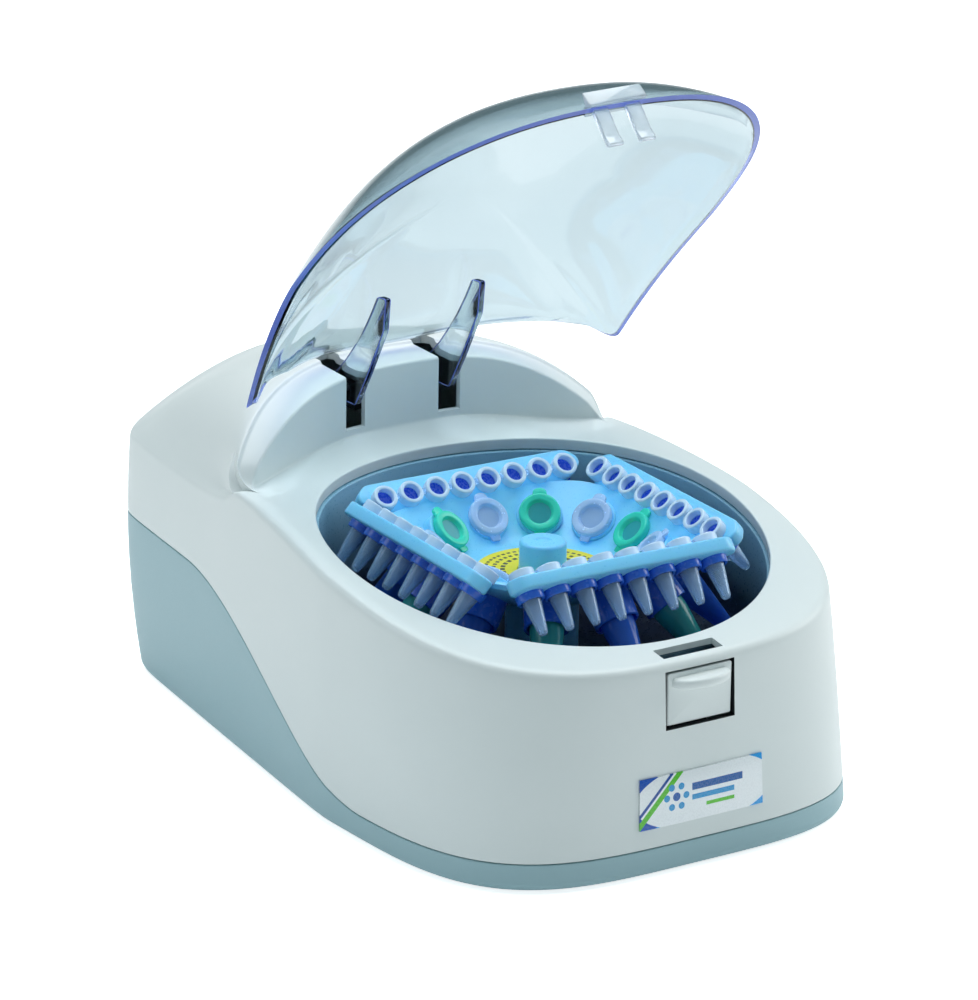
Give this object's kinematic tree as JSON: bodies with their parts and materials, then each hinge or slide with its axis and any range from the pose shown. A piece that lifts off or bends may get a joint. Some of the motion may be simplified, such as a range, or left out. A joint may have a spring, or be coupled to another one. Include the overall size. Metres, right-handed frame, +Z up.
{
  "type": "laboratory mini centrifuge",
  "caption": "Small bench centrifuge with a clear domed lid hinged open, a fixed-angle rotor holding microtubes and tube strips, and a front latch button.",
  "frame": {"origin": "middle of the footprint's bounding box, at the level of the feet's soles", "axes": "+X to the user's right, across the case; +Y from the latch to the rear; +Z up"},
  "size_m": [0.1536, 0.2386, 0.2227],
  "materials": {
    "pale_abs": "satin moulded ABS, very pale grey-green",
    "shade_abs": "satin moulded ABS, blue-grey",
    "liner": "satin moulded plastic",
    "clear": "clear moulded polycarbonate",
    "rotor_blue": "moulded nylon",
    "yellow": "printed film",
    "frosted": "translucent polypropylene",
    "mint": "tinted translucent polypropylene",
    "steel": "turned steel",
    "dark_plastic": "moulded, fine texture",
    "rubber": "moulded rubber",
    "circuit_board": "solder mask",
    "brass": "bright",
    "label_film": "printed film"
  },
  "bodies": {
    "case": {"upper_housing": "pale_abs", "latch_bracket": "pale_abs", "base_housing": "shade_abs", "bowl_liner": "liner", "hinge_pin": "steel", "lid_spring": "steel", "motor": "steel", "housing_screw_1": "steel", "housing_screw_2": "steel", "housing_screw_3": "steel", "housing_screw_4": "steel", "hinge_bracket_left": "dark_plastic", "hinge_bracket_right": "dark_plastic", "motor_bracket": "dark_plastic", "lid_sensor": "dark_plastic", "power_inlet": "dark_plastic", "switch_housing": "dark_plastic", "motor_isolator_1": "rubber", "motor_isolator_2": "rubber", "motor_isolator_3": "rubber", "motor_isolator_4": "rubber", "rubber_foot_1": "rubber", "rubber_foot_2": "rubber", "rubber_foot_3": "rubber", "rubber_foot_4": "rubber", "control_board": "circuit_board", "inlet_pin": "brass", "front_label": "label_film"},
    "lid": {"lid_shell": "clear", "lid_arm_left": "clear", "lid_arm_right": "clear", "lid_catch": "clear"},
    "rotor": {"rotor_body": "rotor_blue", "rotor_knob": "rotor_blue", "warning_disc": "yellow", "rotor_shaft": "steel", "tube_strip_1": "frosted", "tube_strip_2": "frosted", "tube_strip_3": "frosted", "tube_strip_4": "frosted", "microtube_01": "mint", "microtube_02": "frosted", "microtube_03": "mint", "microtube_04": "frosted", "microtube_05": "mint", "microtube_06": "frosted", "microtube_07": "mint", "microtube_08": "frosted", "microtube_09": "mint", "microtube_10": "frosted", "microtube_11": "mint", "microtube_12": "frosted"},
    "latch": {"latch_button": "pale_abs", "latch_spring": "steel"},
    "rocker": {"power_switch": "pale_abs"}
  },
  "joints": [
    {"name": "lid_hinge", "type": "hinge", "parent": "case", "child": "lid", "pos_m": [0, 0.0516, 0.1025], "axis": [1, 0, 0], "range_deg": [0, 57.4], "stiffness_Nm_per_rad": 0.05, "springref_deg": -148.97},
    {"name": "rotor_spin", "type": "hinge", "parent": "case", "child": "rotor", "pos_m": [0, -0.0334, 0.05], "axis": [0, 0, 1], "continuous": true},
    {"name": "latch_press", "type": "slide", "parent": "case", "child": "latch", "axis": [0, 1, 0], "range_m": [0, 0.002], "stiffness_N_per_m": 800},
    {"name": "power_rocker", "type": "hinge", "parent": "case", "child": "rocker", "pos_m": [0.024, 0.11516, 0.026], "axis": [1, 0, 0], "range_deg": [0, 16]}
  ]
}
